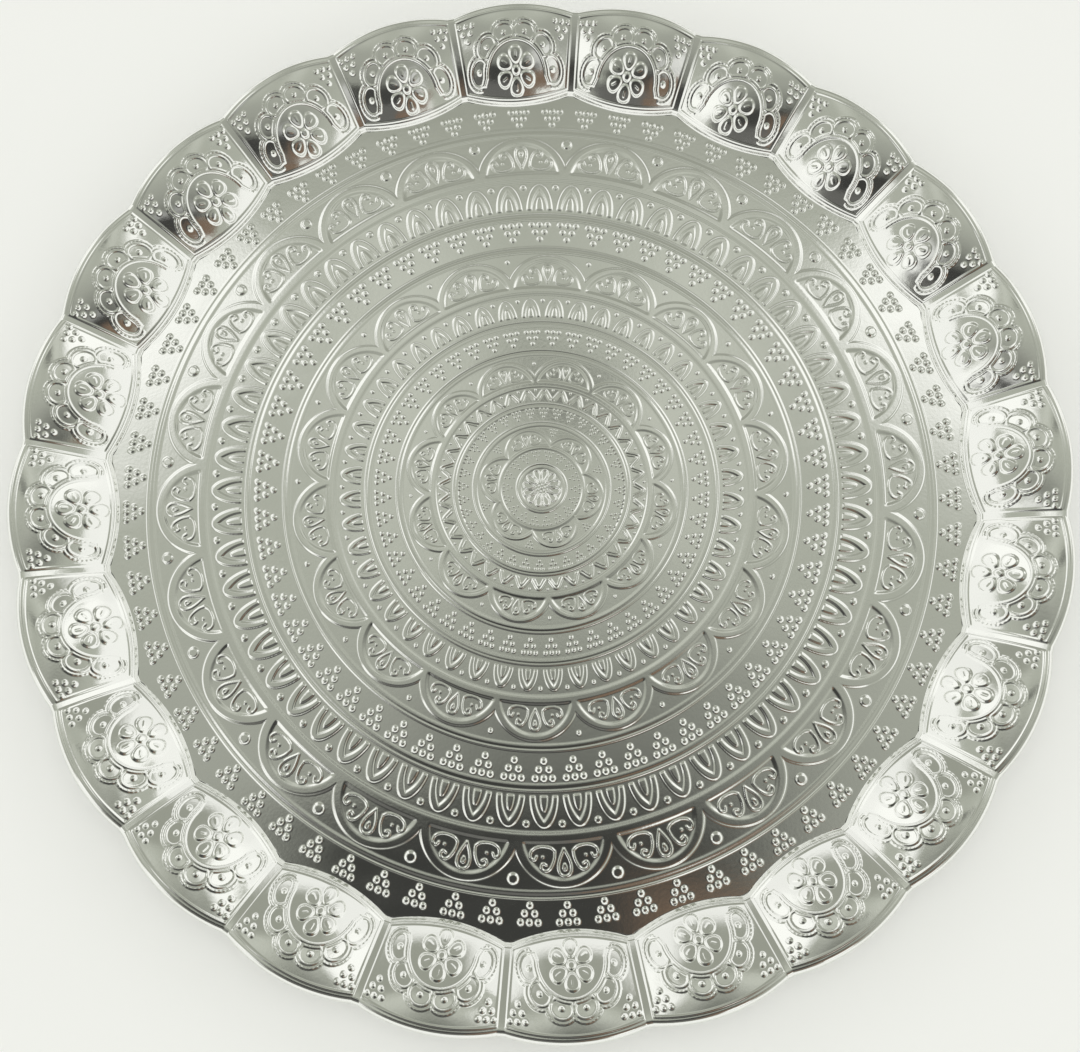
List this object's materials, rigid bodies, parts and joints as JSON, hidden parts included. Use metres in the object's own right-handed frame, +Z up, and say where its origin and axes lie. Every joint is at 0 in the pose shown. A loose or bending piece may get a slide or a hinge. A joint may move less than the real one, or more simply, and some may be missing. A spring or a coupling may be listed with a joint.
{
  "type": "offering plate",
  "caption": "Round shallow pressed-metal serving tray with a flat floor, a rim of domed panels between narrow dividers, and a lobed edge curled round a wire.",
  "frame": {"origin": "centre of the flat underside of the floor, on the surface that the tray stands on", "axes": "+Z is up along the tray's axis; +X runs through the middle of a rim panel"},
  "size_m": [0.35, 0.35, 0.0177],
  "materials": {
    "bright_sheet": "mirror polished",
    "plain_wire": "drawn"
  },
  "bodies": {
    "root": {"pressed_tray": "bright_sheet", "rim_wire": "plain_wire"}
  },
  "joints": []
}
